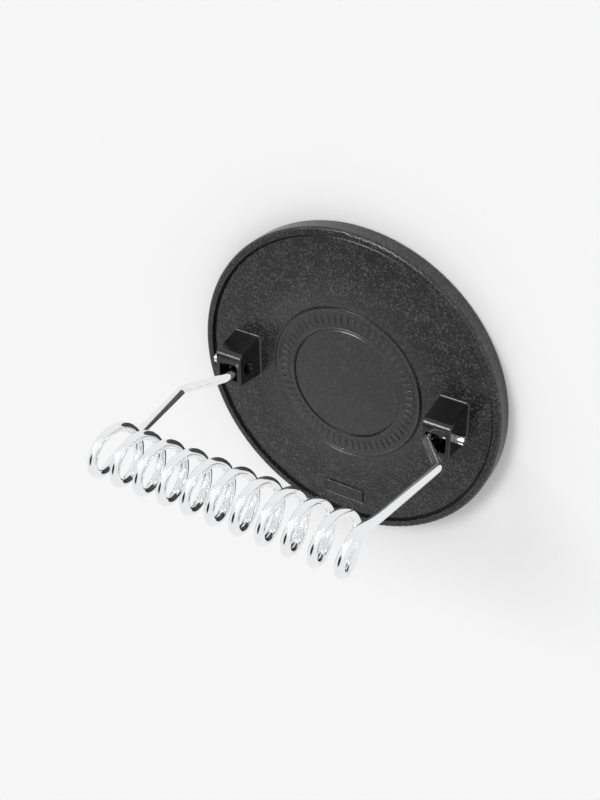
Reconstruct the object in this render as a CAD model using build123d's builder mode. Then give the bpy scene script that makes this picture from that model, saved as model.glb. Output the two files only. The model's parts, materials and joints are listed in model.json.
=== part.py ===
from build123d import *
import os
from math import asin, atan2, cos, degrees, hypot, pi, radians, sin, sqrt, tan

# A round cast-iron burger press. The heavy plate has a flat cooking face below and a low
# lip round its top. Two hollow lugs are cast on the top. One bent wire is the whole handle:
# a wound grip between two arms, and each arm hooks into a lug and comes out through the
# lug's outer wall as a hinge pin. Millimetres, +Z up, +X along the hinge pins. The origin
# is the middle of the cooking face.

# Plate
plate_diameter = 178.0
plate_thickness = 8.9
edge_draft = 0.4
lip_height = 1.7
lip_width = 4.0
lip_slope = 0.7
lip_outer_round = 1.6
lip_inner_round = 0.6
cooking_edge_round = 1.0

# Raised rings and the bare raised pad on the top
ring_radii = (43.4, 32.6)
ring_width = 1.5
ring_height = 0.55
pad_length = 23.0
pad_depth = 7.7
pad_height = 0.45
pad_corner = 0.8
pad_centre = (0.0, -71.2)

# Lugs
lug_spacing = 124.2
lug_width = 15.9
lug_height = 19.1
lug_foot_depth = 24.2
lug_top_back = 8.3
lug_top_front = 9.5
lug_nose_round = 3.8
lug_edge_round = 0.8
lug_foot_round = 1.4
lug_side_wall = 2.2
lug_floor = 5.0
front_wall = 2.0
cavity_corner_round = 1.0
land_clearance = 0.3

# Handle
wire_diameter = 5.0
pin_height = 11.8
pin_offset = -1.4
pin_stand_out = 4.9
pin_clearance = 0.3
pin_end_chamfer = 0.9
inner_hole_diameter = 8.0
hook_radius = 8.4
hook_clearance = 0.4
arm_bend_out = 75.5
arm_bend_rise = 31.5
arm_bend_radius = 7.0
arm_top_out = 74.2
arm_top_rise = 87.0
grip_rise = 97.7
grip_radius = 13.2
grip_turns = 10.5
grip_pitch = 13.8
blend_angle = 40.0
rest_lean = 0.8

# How close an edge lies to a level to be picked, and how far a cut or a foot runs past it
touch = 0.05
overlap = 1.0
wire_samples = 900

# Worked out from the sizes above
plate_radius = plate_diameter / 2
lug_inner = (lug_spacing - lug_width) / 2
lug_outer = lug_inner + lug_width
cavity_inner = lug_inner + lug_side_wall
cavity_outer = lug_outer - lug_side_wall
cavity_front = front_wall - lug_top_front
lug_top = plate_thickness + lug_height
wire_radius = wire_diameter / 2
pin_end = lug_outer + pin_stand_out
pin_hole_radius = wire_radius + pin_clearance
hook_side = cavity_inner + hook_clearance + wire_radius
hinge = Vector(0, pin_offset, plate_thickness + pin_height)

# Each arm lies in a plane through the hinge line that leans to the side where it meets the
# grip. The right lug's cavity ends where that arm rests against its land.
arm_lean = atan2(grip_radius, grip_rise)
land_lean = arm_lean + radians(rest_lean)
land_edge = pin_offset + (lug_height - pin_height) * tan(land_lean)
land_edge += wire_radius / cos(land_lean) + land_clearance


def corner_arc(before, corner, after, radius):
    """Start, middle and end of the arc of this radius that rounds a corner."""
    back = (before - corner).normalized()
    ahead = (after - corner).normalized()
    half = radians(back.get_angle(ahead)) / 2
    reach = radius / tan(half)
    centre = corner + (back + ahead).normalized() * (radius / sin(half))
    middle = centre + (corner - centre).normalized() * radius
    return corner + back * reach, middle, corner + ahead * reach


def arc_middle(start, direction, end):
    """Middle of the arc that leaves start along direction and comes to end."""
    chord = end - start
    across = direction - chord.normalized() * direction.dot(chord.normalized())
    turn = radians(direction.get_angle(chord))
    return start + chord * 0.5 + across.normalized() * (chord.length / 2 * tan(turn / 2))


def biarc(start, start_direction, end, end_direction):
    """Two arcs that meet in line, as start, middle, joint, middle and end."""
    chord = end - start
    both = start_direction + end_direction
    spread = 2 * (1 - start_direction.dot(end_direction))
    along = chord.dot(both)
    reach = (sqrt(along**2 + spread * chord.dot(chord)) - along) / spread
    joint = (start + start_direction * reach + end - end_direction * reach) * 0.5
    first = arc_middle(start, start_direction, joint)
    second = arc_middle(end, end_direction * -1, joint)
    return start, first, joint, second, end


def grip_point(angle):
    """A point of the grip's left-handed helix, with its direction, at an angle in radians."""
    side = grip_turns * grip_pitch / 2 - grip_pitch * angle / (2 * pi)
    place = Vector(side, grip_radius * cos(angle), grip_rise + grip_radius * sin(angle))
    direction = Vector(-grip_pitch / (2 * pi), -grip_radius * sin(angle), grip_radius * cos(angle))
    return place, direction.normalized()


def placed(points):
    """Points of the handle's own frame, moved to where the handle stands on its hinge."""
    return [handle_plane.from_local_coords(point) for point in points]


def turned(points):
    """The same points turned half round the handle's upright axis, in reverse order."""
    return [Vector(-p.X, -p.Y, p.Z) for p in reversed(points)]


def arm_place(out, rise):
    """A point of the right arm, from its distance along the pins and its rise in its plane."""
    return Vector(out, rise * sin(arm_lean), rise * cos(arm_lean))


def on_a_lug(edge):
    """Whether an edge is within the footprint of one of the two lugs."""
    within_width = lug_inner - touch < abs(edge.center().X) < lug_outer + touch
    return within_width and abs(edge.center().Y) < lug_foot_depth / 2 + touch


def is_side_rim(edge):
    """Whether a lug's edge goes round one of its upright sides, above the plate."""
    return edge.bounding_box().size.X < touch and edge.center().Z > plate_thickness + touch


def is_foot(edge):
    """Whether a lug's edge is the line where the lug meets the plate."""
    level = edge.bounding_box().size.Z < touch
    return level and abs(edge.center().Z - plate_thickness) < touch


# Plate, lugs, rings and pad are one casting
with BuildPart() as press_plate:
    with BuildSketch(Plane.XZ) as plate_section:
        with BuildLine():
            Polyline(
                (0, 0),
                (plate_radius - edge_draft, 0),
                (plate_radius, plate_thickness + lip_height),
                (plate_radius - lip_width, plate_thickness + lip_height),
                (plate_radius - lip_width - lip_slope, plate_thickness),
                (0, plate_thickness),
                close=True,
            )
        make_face()
        rim = plate_section.vertices().group_by(Axis.Y)[-1].sort_by(Axis.X)
        fillet(rim[-1], lip_outer_round)
        fillet(rim[0], lip_inner_round)
        fillet(plate_section.vertices().group_by(Axis.Y)[0].sort_by(Axis.X)[-1], cooking_edge_round)
    revolve(axis=Axis.Z)

    for side in (-1, 1):
        with BuildSketch(Plane.YZ.offset(side * lug_inner)) as lug_side:
            with BuildLine():
                Polyline(
                    (-lug_foot_depth / 2, plate_thickness - overlap),
                    (lug_foot_depth / 2, plate_thickness - overlap),
                    (lug_foot_depth / 2, plate_thickness),
                    (lug_top_back, lug_top),
                    (-lug_top_front, lug_top),
                    (-lug_foot_depth / 2, plate_thickness),
                    close=True,
                )
            make_face()
            tips = lug_side.vertices().group_by(Axis.Y)[-1].sort_by(Axis.X)
            fillet(tips[-1], lug_nose_round)
            fillet(tips[0], lug_edge_round)
        extrude(amount=side * lug_width)

    lug_edges = press_plate.edges().filter_by(on_a_lug)
    fillet(lug_edges.filter_by(is_side_rim), lug_edge_round)
    lug_edges = press_plate.edges().filter_by(on_a_lug)
    fillet(lug_edges.filter_by(is_foot), lug_foot_round)

    for side in (-1, 1):
        with BuildSketch(Plane.XY.offset(plate_thickness + lug_floor)):
            with Locations((side * (cavity_inner + cavity_outer) / 2, (cavity_front + land_edge) / 2)):
                RectangleRounded(cavity_outer - cavity_inner, land_edge - cavity_front, cavity_corner_round)
        extrude(amount=lug_height, mode=Mode.SUBTRACT)
        with BuildSketch(Plane.YZ.offset(side * (lug_inner - overlap))):
            with Locations((hinge.Y, hinge.Z)):
                Circle(inner_hole_diameter / 2)
        extrude(amount=side * (lug_side_wall + 2 * overlap), mode=Mode.SUBTRACT)
        with BuildSketch(Plane.YZ.offset(side * (cavity_outer - overlap))):
            with Locations((hinge.Y, hinge.Z)):
                Circle(pin_hole_radius)
        extrude(amount=side * (lug_side_wall + 2 * overlap), mode=Mode.SUBTRACT)

    for ring_radius in ring_radii:
        with BuildSketch(Plane.XZ):
            with BuildLine():
                ThreePointArc(
                    (ring_radius - ring_width / 2, plate_thickness),
                    (ring_radius, plate_thickness + ring_height),
                    (ring_radius + ring_width / 2, plate_thickness),
                )
                Polyline(
                    (ring_radius + ring_width / 2, plate_thickness),
                    (ring_radius + ring_width / 2, plate_thickness - overlap),
                    (ring_radius - ring_width / 2, plate_thickness - overlap),
                    (ring_radius - ring_width / 2, plate_thickness),
                )
            make_face()
        revolve(axis=Axis.Z)

    with BuildSketch(Plane.XY.offset(plate_thickness - overlap)):
        with Locations(pad_centre):
            RectangleRounded(pad_length, pad_depth, pad_corner)
    extrude(amount=overlap + pad_height)

press_plate.part.label = "press_plate"

# The handle's route, in its own frame: the hinge line is X and the grip is above it. The arm
# leaves the hook along the line from its bend that touches the hook's circle, and the hook's
# corner is where that line would meet the pin's, if nothing rounded them.
bend_from_hook = (arm_bend_out - hook_side - hook_radius, arm_bend_rise - hook_radius)
lean_out = atan2(*bend_from_hook) + asin(hook_radius / hypot(*bend_from_hook))
hook_corner_out = arm_bend_out - arm_bend_rise * tan(lean_out)

pin_tip = arm_place(pin_end, 0)
hook_corner = arm_place(hook_corner_out, 0)
arm_bend = arm_place(arm_bend_out, arm_bend_rise)
arm_top = arm_place(arm_top_out, arm_top_rise)
hook_arc = corner_arc(pin_tip, hook_corner, arm_bend, hook_radius)
bend_arc = corner_arc(hook_corner, arm_bend, arm_top, arm_bend_radius)

grip_start, grip_start_direction = grip_point(radians(blend_angle))
blend = biarc(arm_top, (arm_top - arm_bend).normalized(), grip_start, grip_start_direction)

half_turns = round(2 * grip_turns)
grip_angles = [radians(blend_angle)]
grip_angles += [pi * count for count in range(1, half_turns)]
grip_angles += [pi * half_turns - radians(blend_angle)]
grip_arcs = []
for first_angle, last_angle in zip(grip_angles, grip_angles[1:]):
    grip_arcs.append(biarc(*grip_point(first_angle), *grip_point(last_angle)))

handle_plane = Plane(
    origin=hinge,
    x_dir=(1, 0, 0),
    z_dir=(0, sin(radians(rest_lean)), cos(radians(rest_lean))),
)
right_arm = [pin_tip, *hook_arc, *bend_arc, arm_top]
left_arm = turned(right_arm)
with BuildPart() as coil_handle:
    with BuildLine() as route:
        for arm in (right_arm, left_arm):
            stops = placed(arm)
            Line(*stops[0:2])
            ThreePointArc(*stops[1:4])
            Line(*stops[3:5])
            ThreePointArc(*stops[4:7])
            Line(*stops[6:8])
        for joined in (blend, *grip_arcs, turned(blend)):
            stops = placed(joined)
            ThreePointArc(*stops[0:3])
            ThreePointArc(*stops[2:5])
    path = route.wire()
    with BuildSketch(Plane(origin=path @ 0, z_dir=path % 0)):
        Circle(wire_radius)
    sweep(path=path)
    pin_faces = coil_handle.faces().filter_by(Axis.X)
    chamfer(pin_faces.edges(), pin_end_chamfer)

coil_handle.part.label = "coil_handle"

# Check of the wire: its volume against section times length, and the least gap to itself
wire_length = path.length
wire_volume = pi * wire_radius**2 * wire_length
samples = [path @ (count / wire_samples) for count in range(wire_samples + 1)]
apart = round(3 * wire_diameter / (wire_length / wire_samples))
least_gap = min(
    (samples[low] - samples[high]).length - wire_diameter
    for low in range(wire_samples + 1)
    for high in range(low + apart, wire_samples + 1)
)
print("wire length", round(wire_length, 1), "volume ratio", round(coil_handle.part.volume / wire_volume, 4))
print("least gap of the wire to itself", round(least_gap, 2))
print("arm leans out by", round(degrees(lean_out), 1), "degrees")

os.makedirs("parts", exist_ok=True)
export_step(press_plate.part, "parts/press_plate.step")
export_step(coil_handle.part, "parts/coil_handle.step")
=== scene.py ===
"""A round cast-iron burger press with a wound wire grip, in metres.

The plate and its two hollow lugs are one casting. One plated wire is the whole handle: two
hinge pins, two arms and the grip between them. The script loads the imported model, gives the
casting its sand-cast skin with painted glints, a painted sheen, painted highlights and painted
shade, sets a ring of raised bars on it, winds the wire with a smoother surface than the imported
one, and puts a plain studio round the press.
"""

import json
import logging
from dataclasses import dataclass, field
from enum import Enum
from math import asin, atan2, ceil, cos, hypot, pi, radians, sin, sqrt, tan

import bpy
from mathutils import Matrix, Vector


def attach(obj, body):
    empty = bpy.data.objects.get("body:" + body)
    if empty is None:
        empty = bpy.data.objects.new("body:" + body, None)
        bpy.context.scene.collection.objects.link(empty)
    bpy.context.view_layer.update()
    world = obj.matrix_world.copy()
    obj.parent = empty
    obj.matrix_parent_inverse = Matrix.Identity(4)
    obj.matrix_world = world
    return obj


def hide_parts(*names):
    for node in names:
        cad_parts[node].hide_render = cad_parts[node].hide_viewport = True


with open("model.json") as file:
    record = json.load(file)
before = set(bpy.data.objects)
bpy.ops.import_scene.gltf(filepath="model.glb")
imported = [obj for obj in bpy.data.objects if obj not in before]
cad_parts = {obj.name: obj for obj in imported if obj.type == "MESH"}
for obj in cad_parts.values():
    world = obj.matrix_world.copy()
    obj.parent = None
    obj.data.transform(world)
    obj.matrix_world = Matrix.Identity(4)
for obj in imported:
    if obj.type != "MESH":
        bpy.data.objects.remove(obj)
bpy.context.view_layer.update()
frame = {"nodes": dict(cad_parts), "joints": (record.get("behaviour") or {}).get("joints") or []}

MM = 0.001

log = logging.getLogger("burger_press")

Colour = tuple[float, float, float, float]


class Role(Enum):
    """What a lamp is for, which is also its name in the scene."""

    KEY = "key_lamp"
    FILL = "fill_lamp"


class Bench:
    """A node tree, with short calls that add, set and join its nodes."""

    def __init__(self, tree: bpy.types.NodeTree) -> None:
        """Takes the tree and clears it.

        Args:
            tree: The node tree to build in.
        """
        self.tree = tree
        tree.nodes.clear()

    def add(self, kind: str, settings: dict | None = None, **inputs: object) -> bpy.types.Node:
        """Adds a node.

        Args:
            kind: The node's type name.
            settings: Properties of the node itself.
            **inputs: Values or output sockets for its inputs, by name with _ for a space.

        Returns:
            The new node.
        """
        node = self.tree.nodes.new(kind)
        for name, value in (settings or {}).items():
            setattr(node, name, value)
        for name, value in inputs.items():
            self.feed(node.inputs[name.replace("_", " ")], value)
        return node

    def feed(self, socket: bpy.types.NodeSocket, value: object) -> None:
        """Joins an output socket to an input, or sets the input's own value.

        Args:
            socket: The input to feed.
            value: An output socket, or a plain value.
        """
        if isinstance(value, bpy.types.NodeSocket):
            self.tree.links.new(value, socket)
        else:
            socket.default_value = value

    def math(self, operation: str, first: object, second: object = 0.0) -> bpy.types.NodeSocket:
        """Adds a Math node.

        Args:
            operation: The node's operation, such as ADD.
            first: The first operand, a value or an output socket.
            second: The second operand.

        Returns:
            The node's result.
        """
        node = self.tree.nodes.new("ShaderNodeMath")
        node.operation = operation
        self.feed(node.inputs[0], first)
        self.feed(node.inputs[1], second)
        return node.outputs[0]

    def blend(self, share: object, first: object, second: object) -> bpy.types.NodeSocket:
        """Mixes two colours.

        Args:
            share: The share of the second colour.
            first: A colour or an output socket.
            second: A colour or an output socket.

        Returns:
            The mixed colour.
        """
        node = self.tree.nodes.new("ShaderNodeMix")
        node.data_type = "RGBA"
        sockets = {socket.identifier: socket for socket in node.inputs}
        self.feed(sockets["Factor_Float"], share)
        self.feed(sockets["A_Color"], first)
        self.feed(sockets["B_Color"], second)
        return next(socket for socket in node.outputs if socket.identifier == "Result_Color")

    def spread(self, value: bpy.types.NodeSocket, low: object, high: object) -> bpy.types.NodeSocket:
        """Maps a value from 0..1 onto a range.

        Args:
            value: The output socket to map.
            low: The result at 0.
            high: The result at 1.

        Returns:
            The mapped value.
        """
        node = self.add("ShaderNodeMapRange", Value=value, To_Min=low, To_Max=high)
        return node.outputs["Result"]

    def fade(self, distance: bpy.types.NodeSocket, start: object, end: object) -> bpy.types.NodeSocket:
        """Turns a distance into a share.

        Args:
            distance: The output socket to turn.
            start: Where the share stops being 1.
            end: Where it has come down to 0.

        Returns:
            The share.
        """
        node = self.add(
            "ShaderNodeMapRange", Value=distance, From_Min=start, From_Max=end, To_Min=1.0, To_Max=0.0
        )
        return node.outputs["Result"]

    def place(self) -> bpy.types.NodeSocket:
        """Gives the place on the piece, in its own coordinates."""
        return self.add("ShaderNodeTexCoord").outputs["Object"]

    def from_axis(self, sides: bpy.types.Node) -> bpy.types.NodeSocket:
        """Measures the distance from the plate's upright axis.

        Args:
            sides: The place, split into X, Y and Z.

        Returns:
            The distance.
        """
        squares = [self.math("POWER", sides.outputs[side], 2.0) for side in ("X", "Y")]
        return self.math("SQRT", self.math("ADD", *squares))

    def mask(self, tree: bpy.types.NodeTree) -> bpy.types.NodeSocket:
        """Places a shader group and gives its mask."""
        return self.add("ShaderNodeGroup", {"node_tree": tree}).outputs["Mask"]


def shader_group(name: str, inputs: dict[str, float], outputs: list[str]) -> bpy.types.NodeTree:
    """Makes an empty shader node group with named number sockets.

    Args:
        name: The group's name.
        inputs: Input names with their first values.
        outputs: Output names.

    Returns:
        The group's tree.
    """
    tree = bpy.data.node_groups.new(name, "ShaderNodeTree")
    for label, value in inputs.items():
        socket = tree.interface.new_socket(label, in_out="INPUT", socket_type="NodeSocketFloat")
        socket.default_value = value
    for label in outputs:
        tree.interface.new_socket(label, in_out="OUTPUT", socket_type="NodeSocketFloat")
    return tree


def skin_group() -> bpy.types.NodeTree:
    """Makes the uneven skin that both finishes use, each at its own scale.

    Returns:
        A group that gives a height and a tone, both about 0 to 1, from object coordinates.
    """
    tree = shader_group(
        "uneven_skin",
        {
            "Fine Scale": 900.0,
            "Fine Detail": 1.5,
            "Fine Roughness": 0.6,
            "Broad Scale": 150.0,
            "Broad Share": 0.5,
        },
        ["Height", "Tone"],
    )
    bench = Bench(tree)
    given = bench.add("NodeGroupInput").outputs
    place = bench.place()
    fine = bench.add(
        "ShaderNodeTexNoise",
        Vector=place,
        Scale=given["Fine Scale"],
        Detail=given["Fine Detail"],
        Roughness=given["Fine Roughness"],
    )
    broad = bench.add("ShaderNodeTexNoise", Vector=place, Scale=given["Broad Scale"])
    mix = bench.add(
        "ShaderNodeMix", Factor=given["Broad Share"], A=fine.outputs["Fac"], B=broad.outputs["Fac"]
    )
    bench.add("NodeGroupOutput", Height=mix.outputs["Result"], Tone=broad.outputs["Fac"])
    return tree


def edge_wear_and_sheen_group() -> bpy.types.NodeTree:
    """Makes the mask of lightened edges, partly from rubbing and partly a painted highlight, on convex and
    hollow edges alike.

    Returns:
        A group that gives 0 on open faces and up to 1 along edges, broken up by noise.
    """
    tree = shader_group(
        "rubbed_edges_and_painted_sheen", {"Width": 0.6 * MM, "Gain": 5.0, "Patch Scale": 260.0, "Least Rub And Sheen": 0.1}, ["Mask"]
    )
    bench = Bench(tree)
    given = bench.add("NodeGroupInput").outputs
    rounded = bench.add("ShaderNodeBevel", {"samples": 4}, Radius=given["Width"])
    face = bench.add("ShaderNodeNewGeometry")
    agree = bench.add("ShaderNodeVectorMath", {"operation": "DOT_PRODUCT"})
    bench.feed(agree.inputs[0], rounded.outputs["Normal"])
    bench.feed(agree.inputs[1], face.outputs["Normal"])
    turn = bench.math("SUBTRACT", 1.0, agree.outputs["Value"])
    patches = bench.add("ShaderNodeTexNoise", Vector=bench.place(), Scale=given["Patch Scale"])
    rubbed_and_sheen = bench.math("MULTIPLY", turn, bench.spread(patches.outputs["Fac"], given["Least Rub And Sheen"], 1.0))
    gained = bench.math("MULTIPLY", rubbed_and_sheen, given["Gain"])
    bench.add("NodeGroupOutput", Mask=bench.math("MINIMUM", gained, 1.0))
    return tree


def middle_group() -> bpy.types.NodeTree:
    """Makes the mask of the round field inside the outer ring, where the skin is finer and a lighter
    painted sheen is laid.

    Returns:
        A group that gives 1 near the plate's axis and 0 out towards the lip.
    """
    tree = shader_group("middle_field", {"Inner": 42.0 * MM, "Outer": 62.0 * MM}, ["Mask"])
    bench = Bench(tree)
    given = bench.add("NodeGroupInput").outputs
    sides = bench.add("ShaderNodeSeparateXYZ", Vector=bench.place())
    bench.add("NodeGroupOutput", Mask=bench.fade(bench.from_axis(sides), given["Inner"], given["Outer"]))
    return tree


def foot_shade_group() -> bpy.types.NodeTree:
    """Makes the mask of the fine lines where the lip, the two rings and the pad rise from the plate, which
    are sunk by bump and darkened as a painted shade.

    Returns:
        A group that gives 1 on each line and 0 beside it, on the plate's upper side only.
    """
    tree = shader_group(
        "foot_shade_lines",
        {
            "Lip": 84.2 * MM,
            "Outer Ring": 44.35 * MM,
            "Inner Ring": 31.65 * MM,
            "Pad Middle": -71.2 * MM,
            "Pad Half Length": 11.7 * MM,
            "Pad Half Depth": 4.05 * MM,
            "Half Width": 0.75 * MM,
            "Least Height": 8.6 * MM,
        },
        ["Mask"],
    )
    bench = Bench(tree)
    given = bench.add("NodeGroupInput").outputs
    sides = bench.add("ShaderNodeSeparateXYZ", Vector=bench.place())
    across = bench.math("ABSOLUTE", sides.outputs["X"])
    along = bench.math("ABSOLUTE", bench.math("SUBTRACT", sides.outputs["Y"], given["Pad Middle"]))
    past_pad = bench.math(
        "MAXIMUM",
        bench.math("SUBTRACT", across, given["Pad Half Length"]),
        bench.math("SUBTRACT", along, given["Pad Half Depth"]),
    )
    nearest = bench.math("ABSOLUTE", past_pad)
    out = bench.from_axis(sides)
    for circle in ("Lip", "Outer Ring", "Inner Ring"):
        miss = bench.math("ABSOLUTE", bench.math("SUBTRACT", out, given[circle]))
        nearest = bench.math("MINIMUM", nearest, miss)
    line = bench.fade(nearest, 0.0, given["Half Width"])
    upper = bench.math("GREATER_THAN", sides.outputs["Z"], given["Least Height"])
    bench.add("NodeGroupOutput", Mask=bench.math("MULTIPLY", line, upper))
    return tree


def lug_group() -> bpy.types.NodeTree:
    """Makes the mask of the two lugs and the rounds at their feet.

    Returns:
        A group that gives 1 over the lugs' footprints and 0 elsewhere.
    """
    tree = shader_group(
        "lug_footprint",
        {"Inner": 54.15 * MM, "Outer": 70.05 * MM, "Half Depth": 12.1 * MM, "Blend": 1.6 * MM},
        ["Mask"],
    )
    bench = Bench(tree)
    given = bench.add("NodeGroupInput").outputs
    sides = bench.add("ShaderNodeSeparateXYZ", Vector=bench.place())
    across = bench.math("ABSOLUTE", sides.outputs["X"])
    along = bench.math("ABSOLUTE", sides.outputs["Y"])
    past_inner = bench.math("SUBTRACT", given["Inner"], across)
    past_outer = bench.math("SUBTRACT", across, given["Outer"])
    past_depth = bench.math("SUBTRACT", along, given["Half Depth"])
    past = bench.math("MAXIMUM", bench.math("MAXIMUM", past_inner, past_outer), past_depth)
    bench.add("NodeGroupOutput", Mask=bench.fade(past, 0.0, given["Blend"]))
    return tree


@dataclass(frozen=True)
class Patterns:
    """The shader groups that the finishes use, each made once."""

    skin: bpy.types.NodeTree = field(default_factory=skin_group)
    edges: bpy.types.NodeTree = field(default_factory=edge_wear_and_sheen_group)
    middle: bpy.types.NodeTree = field(default_factory=middle_group)
    feet: bpy.types.NodeTree = field(default_factory=foot_shade_group)
    lugs: bpy.types.NodeTree = field(default_factory=lug_group)


@dataclass(frozen=True)
class CastIron:
    """Black seasoned iron with the fine skin of a sand mould.

    It is smoother on the lugs than on the open plate, and darker there, a painted shade: the lugs keep
    few of the lighter grain crests, which are painted glints. In the plate's middle it is calmer and
    lighter, a painted sheen. Its edges are lighter, partly from rubbing and partly a painted highlight,
    and where the lip, the rings and the pad rise from the plate it is darker, a painted shade.
    """

    iron_black: Colour = (0.003, 0.003, 0.003, 1.0)
    glint_colour: Colour = (0.054, 0.053, 0.054, 1.0)
    edge_wear_and_sheen_colour: Colour = (0.085, 0.085, 0.087, 1.0)
    middle_sheen_colour: Colour = (0.032, 0.032, 0.032, 1.0)
    glint_start: float = 0.49
    glint_full: float = 0.68
    smooth: float = 0.2
    rough: float = 0.3
    specular: float = 0.58
    grain: float = 860.0
    roll: float = 150.0
    roll_share: float = 0.2
    relief: float = 0.19 * MM
    foot_depth: float = 0.5 * MM
    middle_relief: float = 0.4
    middle_sheen_share: float = 0.6
    lug_gloss: float = 0.16
    lug_glint_share: float = 0.06
    lug_relief: float = 0.4
    lug_wear_and_sheen: float = 0.25

    def material(self, patterns: Patterns) -> bpy.types.Material:
        """Makes the material.

        Args:
            patterns: The shader groups.

        Returns:
            The cast iron material.
        """
        made = bpy.data.materials.new("cast_iron_seasoned")
        made.use_nodes = True
        bench = Bench(made.node_tree)
        sand = bench.add(
            "ShaderNodeGroup",
            {"node_tree": patterns.skin},
            Fine_Scale=self.grain,
            Broad_Scale=self.roll,
            Broad_Share=self.roll_share,
        ).outputs
        on_lug = bench.mask(patterns.lugs)
        in_middle = bench.mask(patterns.middle)
        on_foot_shade_line = bench.mask(patterns.feet)

        # Lighter grain crests over iron black are painted glints. They are cut down on the lugs, which
        # paints the lugs darker, a painted shade.
        glints = bench.add(
            "ShaderNodeMapRange", Value=sand["Height"], From_Min=self.glint_start, From_Max=self.glint_full
        )
        shade = bench.math("MULTIPLY", glints.outputs["Result"], bench.spread(on_lug, 1.0, self.lug_glint_share))
        glinted = bench.blend(shade, self.iron_black, self.glint_colour)
        # The plate's middle is calmer and lighter: finer skin with a painted sheen.
        calm_with_sheen = bench.blend(bench.spread(in_middle, 0.0, self.middle_sheen_share), glinted, self.middle_sheen_colour)
        # Edges are lightened, partly from rubbing and partly a painted highlight, on convex and hollow
        # edges alike.
        wear_and_sheen = bench.math("MULTIPLY", bench.mask(patterns.edges), bench.spread(on_lug, 1.0, self.lug_wear_and_sheen))
        worn_and_sheened = bench.blend(wear_and_sheen, calm_with_sheen, self.edge_wear_and_sheen_colour)

        finer = bench.math("MULTIPLY", sand["Height"], bench.spread(in_middle, 1.0, self.middle_relief))
        grain = bench.math("MULTIPLY", finer, bench.spread(on_lug, 1.0, self.lug_relief))
        sunk = bench.math("MULTIPLY", on_foot_shade_line, self.foot_depth / self.relief)
        height = bench.math("SUBTRACT", grain, sunk)
        bump = bench.add("ShaderNodeBump", Strength=1.0, Distance=self.relief, Height=height)

        plain = bench.spread(sand["Tone"], self.smooth, self.rough)
        gloss = bench.math("MULTIPLY", on_lug, bench.math("SUBTRACT", plain, self.lug_gloss))
        # Along the foot lines the colour goes to iron black: a painted shade where the lip, the rings and
        # the pad rise.
        shader = bench.add(
            "ShaderNodeBsdfPrincipled",
            Base_Color=bench.blend(on_foot_shade_line, worn_and_sheened, self.iron_black),
            Roughness=bench.math("SUBTRACT", plain, gloss),
            Specular_IOR_Level=self.specular,
            Normal=bump.outputs["Normal"],
        )
        bench.add("ShaderNodeOutputMaterial", Surface=shader.outputs["BSDF"])
        return made


@dataclass(frozen=True)
class BrightPlating:
    """Bright chrome over drawn wire."""

    colour: Colour = (0.88, 0.89, 0.9, 1.0)
    smooth: float = 0.02
    rough: float = 0.09
    grain: float = 900.0
    roll: float = 160.0
    roll_share: float = 0.9
    relief: float = 0.012 * MM

    def material(self, patterns: Patterns) -> bpy.types.Material:
        """Makes the material.

        Args:
            patterns: The shader groups.

        Returns:
            The plating material.
        """
        made = bpy.data.materials.new("bright_plating")
        made.use_nodes = True
        bench = Bench(made.node_tree)
        drawn = bench.add(
            "ShaderNodeGroup",
            {"node_tree": patterns.skin},
            Fine_Scale=self.grain,
            Broad_Scale=self.roll,
            Broad_Share=self.roll_share,
        ).outputs
        bump = bench.add("ShaderNodeBump", Strength=1.0, Distance=self.relief, Height=drawn["Height"])
        shader = bench.add(
            "ShaderNodeBsdfPrincipled",
            Base_Color=self.colour,
            Metallic=1.0,
            Roughness=bench.spread(drawn["Tone"], self.smooth, self.rough),
            Normal=bump.outputs["Normal"],
        )
        bench.add("ShaderNodeOutputMaterial", Surface=shader.outputs["BSDF"])
        return made


def grown(
    name: str, seed: bpy.types.Mesh, tree: bpy.types.NodeTree, sizes: dict[str, object]
) -> bpy.types.Object:
    """Runs a Geometry Nodes tree on a seed mesh and keeps the result as a plain mesh.

    Args:
        name: The finished piece's name.
        seed: The mesh that the tree starts from.
        tree: The Geometry Nodes tree.
        sizes: Values for the tree's named inputs.

    Returns:
        The finished piece, at the origin, with no modifier.
    """
    maker = bpy.data.objects.new(name + "_maker", seed)
    bpy.context.scene.collection.objects.link(maker)
    modifier = maker.modifiers.new("grow", "NODES")
    modifier.node_group = tree
    for label, value in sizes.items():
        modifier[tree.interface.items_tree[label].identifier] = value
    mesh = bpy.data.meshes.new_from_object(maker.evaluated_get(bpy.context.evaluated_depsgraph_get()))
    mesh.name = name
    maker.modifiers.remove(modifier)
    bpy.data.objects.remove(maker)
    piece = bpy.data.objects.new(name, mesh)
    bpy.context.scene.collection.objects.link(piece)
    return piece


def node_tree_for_growing(name: str, inputs: dict[str, str]) -> bpy.types.NodeTree:
    """Makes an empty Geometry Nodes tree with a geometry in and out and named inputs.

    Args:
        name: The tree's name.
        inputs: Input names with their socket types.

    Returns:
        The tree.
    """
    tree = bpy.data.node_groups.new(name, "GeometryNodeTree")
    tree.interface.new_socket("Seed", in_out="INPUT", socket_type="NodeSocketGeometry")
    for label, kind in inputs.items():
        tree.interface.new_socket(label, in_out="INPUT", socket_type=kind)
    tree.interface.new_socket("Grown", in_out="OUTPUT", socket_type="NodeSocketGeometry")
    return tree


def report(piece: bpy.types.Object) -> None:
    """Logs a piece's name, size in millimetres and count of triangles.

    Args:
        piece: The piece to report.
    """
    corners = [Vector(corner) for corner in piece.bound_box]
    size = [(max(c[axis] for c in corners) - min(c[axis] for c in corners)) / MM for axis in range(3)]
    triangles = sum(len(face.vertices) - 2 for face in piece.data.polygons)
    log.info("%s: %.1f x %.1f x %.1f mm, %d triangles", piece.name, *size, triangles)


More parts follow.
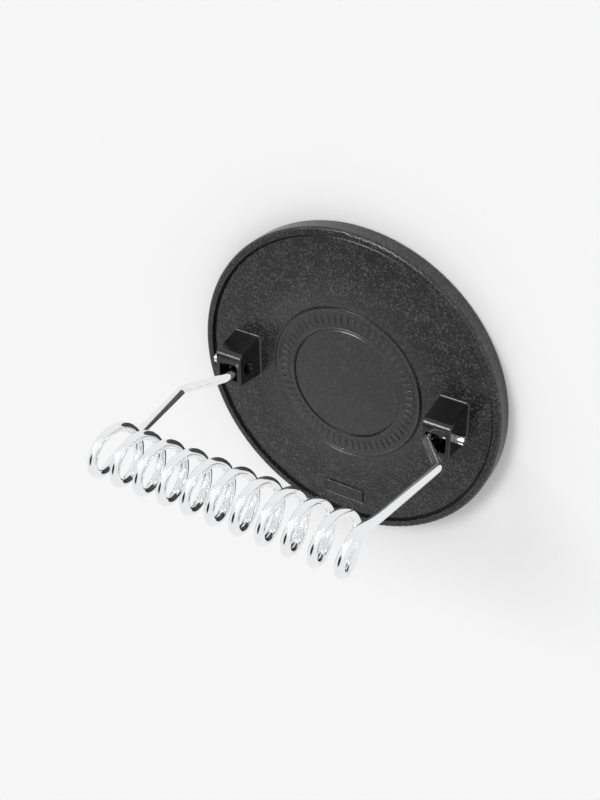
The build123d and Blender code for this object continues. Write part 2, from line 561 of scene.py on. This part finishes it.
@dataclass
class PlateCasting:
    """The cast plate with its lugs, rings and pad, and the raised bars between the rings."""

    iron: bpy.types.Material
    face_height: float = 8.9 * MM
    bar_ring_radius: float = 38.0 * MM
    bar_count: int = 60
    bar_length: float = 5.4 * MM
    bar_width: float = 1.9 * MM
    bar_height: float = 0.65 * MM
    bar_depth: float = 0.2 * MM
    bar_profile: tuple[tuple[float, float], ...] = ((0.25, 1.0), (0.7, 0.86), (0.93, 0.62), (1.0, 0.3))
    outline_points: int = 16

    def dress(self) -> bpy.types.Object:
        """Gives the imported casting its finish.

        Returns:
            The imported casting.
        """
        casting = frame["nodes"]["press_plate"]
        for slot in casting.material_slots:
            slot.link = "OBJECT"
            slot.material = self.iron
        return casting

    def bar(self) -> bpy.types.Mesh:
        """Makes one low bar with rounded ends and a domed top, lying along +X.

        Returns:
            The bar's mesh, with its foot just under the plate's face.
        """
        levels = [(-self.bar_depth, 1.0)]
        levels += [(rise * self.bar_height, share) for rise, share in self.bar_profile]
        straight = (self.bar_length - self.bar_width) / 2
        points: list[Vector] = []
        for height, share in levels:
            for step in range(self.outline_points):
                angle = 2 * pi * (step + 0.5) / self.outline_points
                shift = straight if cos(angle) > 0 else -straight
                across = self.bar_width / 2 * share
                points.append(Vector((shift + across * cos(angle), across * sin(angle), height)))
        count = self.outline_points
        faces: list[tuple[int, ...]] = []
        for level in range(len(levels) - 1):
            for step in range(count):
                low = level * count + step
                beside = level * count + (step + 1) % count
                faces.append((low, beside, beside + count, low + count))
        top = (len(levels) - 1) * count
        faces.append(tuple(range(top, top + count)))
        faces.append(tuple(reversed(range(count))))
        mesh = bpy.data.meshes.new("bar")
        mesh.from_pydata(points, [], faces)
        return mesh

    def bars(self) -> bpy.types.Object:
        """Sets the raised bars round the ring.

        Returns:
            All the bars as one piece.
        """
        tree = node_tree_for_growing(
            "ring_of_bars",
            {
                "Ring Radius": "NodeSocketFloat",
                "Height": "NodeSocketFloat",
                "Count": "NodeSocketInt",
                "Finish": "NodeSocketMaterial",
            },
        )
        bench = Bench(tree)
        given = bench.add("NodeGroupInput")
        ring = bench.add(
            "GeometryNodeMeshCircle", Vertices=given.outputs["Count"], Radius=given.outputs["Ring Radius"]
        )
        centre = bench.add("ShaderNodeCombineXYZ", Z=given.outputs["Height"])
        raised = bench.add(
            "GeometryNodeSetPosition", Geometry=ring.outputs["Mesh"], Offset=centre.outputs["Vector"]
        )
        place = bench.add("GeometryNodeInputPosition")
        outward = bench.add("ShaderNodeVectorMath", {"operation": "SUBTRACT"})
        bench.feed(outward.inputs[0], place.outputs["Position"])
        bench.feed(outward.inputs[1], centre.outputs["Vector"])
        turned = bench.add(
            "FunctionNodeAlignRotationToVector", {"axis": "X", "pivot_axis": "Z"}, Vector=outward.outputs[0]
        )
        copies = bench.add(
            "GeometryNodeInstanceOnPoints",
            Points=raised.outputs["Geometry"],
            Instance=given.outputs["Seed"],
            Rotation=turned.outputs["Rotation"],
        )
        solid = bench.add("GeometryNodeRealizeInstances", Geometry=copies.outputs["Instances"])
        smooth = bench.add("GeometryNodeSetShadeSmooth", Geometry=solid.outputs["Geometry"])
        finished = bench.add(
            "GeometryNodeSetMaterial", Geometry=smooth.outputs["Geometry"], Material=given.outputs["Finish"]
        )
        bench.add("NodeGroupOutput", Grown=finished.outputs["Geometry"])
        piece = grown(
            "raised_bars",
            self.bar(),
            tree,
            {
                "Ring Radius": self.bar_ring_radius,
                "Height": self.face_height,
                "Count": self.bar_count,
                "Finish": self.iron,
            },
        )
        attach(piece, "plate")
        return piece


@dataclass
class CoilHandle:
    """The handle, one wire: pins, hooks, arms and the wound grip.

    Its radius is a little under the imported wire's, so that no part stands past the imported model.
    """

    plating: bpy.types.Material
    wire_radius: float = 2.47 * MM
    pin_end: float = 74.95 * MM
    pin_chamfer: float = 0.9 * MM
    hook_side: float = 59.25 * MM
    hook_radius: float = 8.4 * MM
    bend_out: float = 75.5 * MM
    bend_rise: float = 31.5 * MM
    bend_radius: float = 7.0 * MM
    top_out: float = 74.2 * MM
    top_rise: float = 87.0 * MM
    grip_rise: float = 97.7 * MM
    grip_radius: float = 13.2 * MM
    grip_turns: float = 10.5
    grip_pitch: float = 13.8 * MM
    blend_angle: float = radians(40)
    rest_lean: float = radians(0.8)
    step: float = 0.7 * MM
    wire_sides: int = 36
    route: list[Vector] = field(default_factory=list)

    def arm_place(self, out: float, rise: float) -> Vector:
        """Places a point of the right arm, whose plane leans to the side where it meets the grip.

        Args:
            out: Distance along the pins.
            rise: Rise in the arm's plane.

        Returns:
            The point, from the middle of the hinge line.
        """
        lean = atan2(self.grip_radius, self.grip_rise)
        return Vector((out, rise * sin(lean), rise * cos(lean)))

    def arc(self, start: Vector, heading: Vector, end: Vector) -> list[Vector]:
        """Divides the arc that leaves a point along a heading and comes to another point.

        Args:
            start: The first point.
            heading: The unit direction there.
            end: The last point.

        Returns:
            The arc's points after the first.
        """
        chord = end - start
        half = heading.angle(chord)
        radius = chord.length / (2 * sin(half))
        inward = (chord - heading * chord.dot(heading)).normalized()
        count = max(2, ceil(2 * half * radius / self.step))
        points = []
        for index in range(1, count + 1):
            turn = 2 * half * index / count
            points.append(start + heading * (radius * sin(turn)) + inward * (radius * (1 - cos(turn))))
        return points

    def rounded(self, before: Vector, corner: Vector, after: Vector, radius: float) -> list[Vector]:
        """Rounds a corner between two straight runs.

        Args:
            before: A point on the run that comes in.
            corner: Where the runs would meet.
            after: A point on the run that goes out.
            radius: The bend's radius.

        Returns:
            The bend's points, both ends among them.
        """
        back = (before - corner).normalized()
        ahead = (after - corner).normalized()
        reach = radius / tan(back.angle(ahead) / 2)
        start = corner + back * reach
        return [start, *self.arc(start, -back, corner + ahead * reach)]

    def grip_point(self, angle: float) -> tuple[Vector, Vector]:
        """Finds a point of the left-handed grip.

        Args:
            angle: The turn from the right end, in radians.

        Returns:
            The point and the unit direction there.
        """
        side = self.grip_turns * self.grip_pitch / 2 - self.grip_pitch * angle / (2 * pi)
        forward = self.grip_radius * cos(angle)
        upward = self.grip_radius * sin(angle)
        heading = Vector((-self.grip_pitch / (2 * pi), -upward, forward))
        return Vector((side, forward, self.grip_rise + upward)), heading.normalized()

    def right_arm(self) -> list[Vector]:
        """Draws the right arm from the pin's end to the start of the grip.

        Returns:
            The arm's points, from the middle of the hinge line.
        """
        run = self.bend_out - self.hook_side - self.hook_radius
        rise = self.bend_rise - self.hook_radius
        lean_out = atan2(run, rise) + asin(self.hook_radius / hypot(run, rise))
        tip = self.arm_place(self.pin_end, 0.0)
        hook = self.arm_place(self.bend_out - self.bend_rise * tan(lean_out), 0.0)
        bend = self.arm_place(self.bend_out, self.bend_rise)
        top = self.arm_place(self.top_out, self.top_rise)
        chamfer_end = tip + (hook - tip).normalized() * self.pin_chamfer
        points = [tip, chamfer_end]
        points += self.rounded(tip, hook, bend, self.hook_radius)
        points += self.rounded(hook, bend, top, self.bend_radius)
        points.append(top)
        heading = (top - bend).normalized()
        grip, grip_heading = self.grip_point(self.blend_angle)
        chord = grip - top
        both = heading + grip_heading
        spread = 2 * (1 - heading.dot(grip_heading))
        reach = (sqrt(chord.dot(both) ** 2 + spread * chord.dot(chord)) - chord.dot(both)) / spread
        joint = (top + heading * reach + grip - grip_heading * reach) / 2
        points += self.arc(top, heading, joint)
        points += list(reversed(self.arc(grip, -grip_heading, joint)[:-1]))
        return points

    def draw_route(self) -> None:
        """Draws the wire's middle line, from the right pin's end to the left one's."""
        right = self.right_arm()
        span = 2 * pi * self.grip_turns - 2 * self.blend_angle
        count = ceil(span * self.grip_radius / self.step)
        grip = [self.grip_point(self.blend_angle + span * index / count)[0] for index in range(count + 1)]
        left = [Vector((-p.x, -p.y, p.z)) for p in reversed(right)]
        lean = Matrix.Rotation(-self.rest_lean, 4, "X")
        hinge = Vector(frame["joints"][0]["pos_m"])
        self.route = [hinge + lean @ point for point in (*right, *grip, *left)]

    def seed(self) -> bpy.types.Mesh:
        """Makes the middle line as a chain of edges, thinner at the two chamfered ends.

        Returns:
            The chain, with a thickness for each point.
        """
        mesh = bpy.data.meshes.new("wire_route")
        links = [(index, index + 1) for index in range(len(self.route) - 1)]
        mesh.from_pydata(self.route, links, [])
        thickness = [1.0] * len(self.route)
        thickness[0] = thickness[-1] = 1 - self.pin_chamfer / self.wire_radius
        mesh.attributes.new("thickness", "FLOAT", "POINT").data.foreach_set("value", thickness)
        return mesh

    def wire(self) -> bpy.types.Object:
        """Sweeps the wire along its route.

        Returns:
            The wire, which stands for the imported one.
        """
        tree = node_tree_for_growing(
            "wound_wire",
            {"Wire Radius": "NodeSocketFloat", "Sides": "NodeSocketInt", "Finish": "NodeSocketMaterial"},
        )
        bench = Bench(tree)
        given = bench.add("NodeGroupInput")
        line = bench.add("GeometryNodeMeshToCurve", Mesh=given.outputs["Seed"])
        share = bench.add("GeometryNodeInputNamedAttribute", {"data_type": "FLOAT"}, Name="thickness")
        tapered = bench.add(
            "GeometryNodeSetCurveRadius", Curve=line.outputs["Curve"], Radius=share.outputs["Attribute"]
        )
        section = bench.add(
            "GeometryNodeCurvePrimitiveCircle",
            Resolution=given.outputs["Sides"],
            Radius=given.outputs["Wire Radius"],
        )
        swept = bench.add(
            "GeometryNodeCurveToMesh",
            Curve=tapered.outputs["Curve"],
            Profile_Curve=section.outputs["Curve"],
            Fill_Caps=True,
        )
        solid = bench.add("GeometryNodeRealizeInstances", Geometry=swept.outputs["Mesh"])
        smooth = bench.add("GeometryNodeSetShadeSmooth", Geometry=solid.outputs["Geometry"])
        finished = bench.add(
            "GeometryNodeSetMaterial", Geometry=smooth.outputs["Geometry"], Material=given.outputs["Finish"]
        )
        bench.add("NodeGroupOutput", Grown=finished.outputs["Geometry"])
        self.draw_route()
        piece = grown(
            "wound_wire",
            self.seed(),
            tree,
            {"Wire Radius": self.wire_radius, "Sides": self.wire_sides, "Finish": self.plating},
        )
        for face in piece.data.polygons:
            face.use_smooth = len(face.vertices) == 4
        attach(piece, "handle")
        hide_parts("coil_handle")
        return piece


def direction(azimuth: float, elevation: float) -> Vector:
    """Finds the unit direction from the press towards a place round it.

    Args:
        azimuth: The angle round the press in radians, 0 towards -Y and a quarter turn towards +X.
        elevation: The angle above the floor in radians.

    Returns:
        The direction.
    """
    return Vector((sin(azimuth) * cos(elevation), -cos(azimuth) * cos(elevation), sin(elevation)))


@dataclass(frozen=True)
class Lamp:
    """A soft lamp, far off, that lights everything evenly from one direction."""

    role: Role
    azimuth: float
    elevation: float
    strength: float
    softness: float

    def hang(self) -> None:
        """Puts the lamp in the scene."""
        data = bpy.data.lights.new(self.role.value, "SUN")
        data.energy = self.strength
        data.angle = self.softness
        lamp = bpy.data.objects.new(self.role.value, data)
        away = direction(self.azimuth, self.elevation)
        lamp.rotation_mode = "QUATERNION"
        lamp.rotation_quaternion = away.to_track_quat("Z", "Y")
        lamp.location = away
        bpy.context.scene.collection.objects.link(lamp)


@dataclass
class Studio:
    """A pale floor, a pale surround that dims overhead, two soft lamps and the camera."""

    light_colour: Colour = (1.0, 1.0, 1.0, 1.0)
    wall_level: float = 0.913
    ceiling_level: float = 0.02
    ceiling_middle: Vector = direction(radians(322), radians(69))
    ceiling_reach: tuple[float, float] = (radians(26), radians(13))
    floor_colour: Colour = (0.775, 0.775, 0.775, 1.0)
    floor_roughness: float = 0.9
    floor_reach: float = 30.0
    lamps: tuple[Lamp, ...] = (
        Lamp(Role.KEY, radians(213), radians(50), 1.4, radians(24)),
        Lamp(Role.FILL, radians(140), radians(60), 0.17, radians(70)),
    )
    eye: Vector = Vector((0.261498, 0.345462, 0.462829))
    right: Vector = Vector((0.846361, -0.010661, -0.532503))
    down: Vector = Vector((0.291627, -0.827334, 0.480075))
    focal_pixels: float = 1191.86
    frame_height_pixels: float = 800.0
    sensor_width: float = 36.0

    def lay_floor(self) -> bpy.types.Object:
        """Lays the floor under the press.

        Returns:
            The floor.
        """
        reach = self.floor_reach
        mesh = bpy.data.meshes.new("floor")
        corners = [(-reach, -reach, 0), (reach, -reach, 0), (reach, reach, 0), (-reach, reach, 0)]
        mesh.from_pydata(corners, [], [(0, 1, 2, 3)])
        floor = bpy.data.objects.new("floor", mesh)
        bpy.context.scene.collection.objects.link(floor)
        made = bpy.data.materials.new("pale_floor")
        made.use_nodes = True
        bench = Bench(made.node_tree)
        paint = bench.add(
            "ShaderNodeBsdfPrincipled",
            Base_Color=self.floor_colour,
            Roughness=self.floor_roughness,
            Specular_IOR_Level=0.0,
        )
        bench.add("ShaderNodeOutputMaterial", Surface=paint.outputs["BSDF"])
        mesh.materials.append(made)
        return floor

    def light_surround(self) -> None:
        """Lights the world with pale walls that dim towards one place overhead."""
        world = bpy.data.worlds.new("surround")
        bpy.context.scene.world = world
        world.use_nodes = True
        bench = Bench(world.node_tree)
        towards = bench.add("ShaderNodeTexCoord").outputs["Generated"]
        closeness = bench.add("ShaderNodeVectorMath", {"operation": "DOT_PRODUCT"})
        bench.feed(closeness.inputs[0], towards)
        bench.feed(closeness.inputs[1], self.ceiling_middle)
        outer, inner = self.ceiling_reach
        level = bench.add(
            "ShaderNodeMapRange",
            {"interpolation_type": "SMOOTHSTEP"},
            Value=closeness.outputs["Value"],
            From_Min=cos(outer),
            From_Max=cos(inner),
            To_Min=self.wall_level,
            To_Max=self.ceiling_level,
        )
        light = bench.add("ShaderNodeBackground", Color=self.light_colour, Strength=level.outputs["Result"])
        bench.add("ShaderNodeOutputWorld", Surface=light.outputs["Background"])

    def set_camera(self) -> None:
        """Stands the camera where the press fills the frame as it should."""
        data = bpy.data.cameras.new("camera")
        data.sensor_width = self.sensor_width
        data.lens = self.focal_pixels * self.sensor_width / self.frame_height_pixels
        camera = bpy.data.objects.new("camera", data)
        forward = self.right.cross(self.down)
        axes = Matrix((self.right, -self.down, -forward)).transposed()
        camera.matrix_world = Matrix.Translation(self.eye) @ axes.to_4x4()
        bpy.context.scene.collection.objects.link(camera)
        bpy.context.scene.camera = camera

    def build(self) -> None:
        """Sets up the whole studio."""
        self.set_camera()
        self.lay_floor()
        self.light_surround()
        for lamp in self.lamps:
            lamp.hang()
        bpy.context.scene.view_settings.view_transform = "Standard"


def main() -> None:
    """Builds the studio and the press in order, and reports each piece."""
    logging.basicConfig(level=logging.INFO, format="%(name)s %(message)s")
    Studio().build()
    patterns = Patterns()
    plate = PlateCasting(CastIron().material(patterns))
    handle = CoilHandle(BrightPlating().material(patterns))
    for piece in (plate.dress(), plate.bars(), handle.wire()):
        report(piece)


if __name__ == "__main__":
    main()
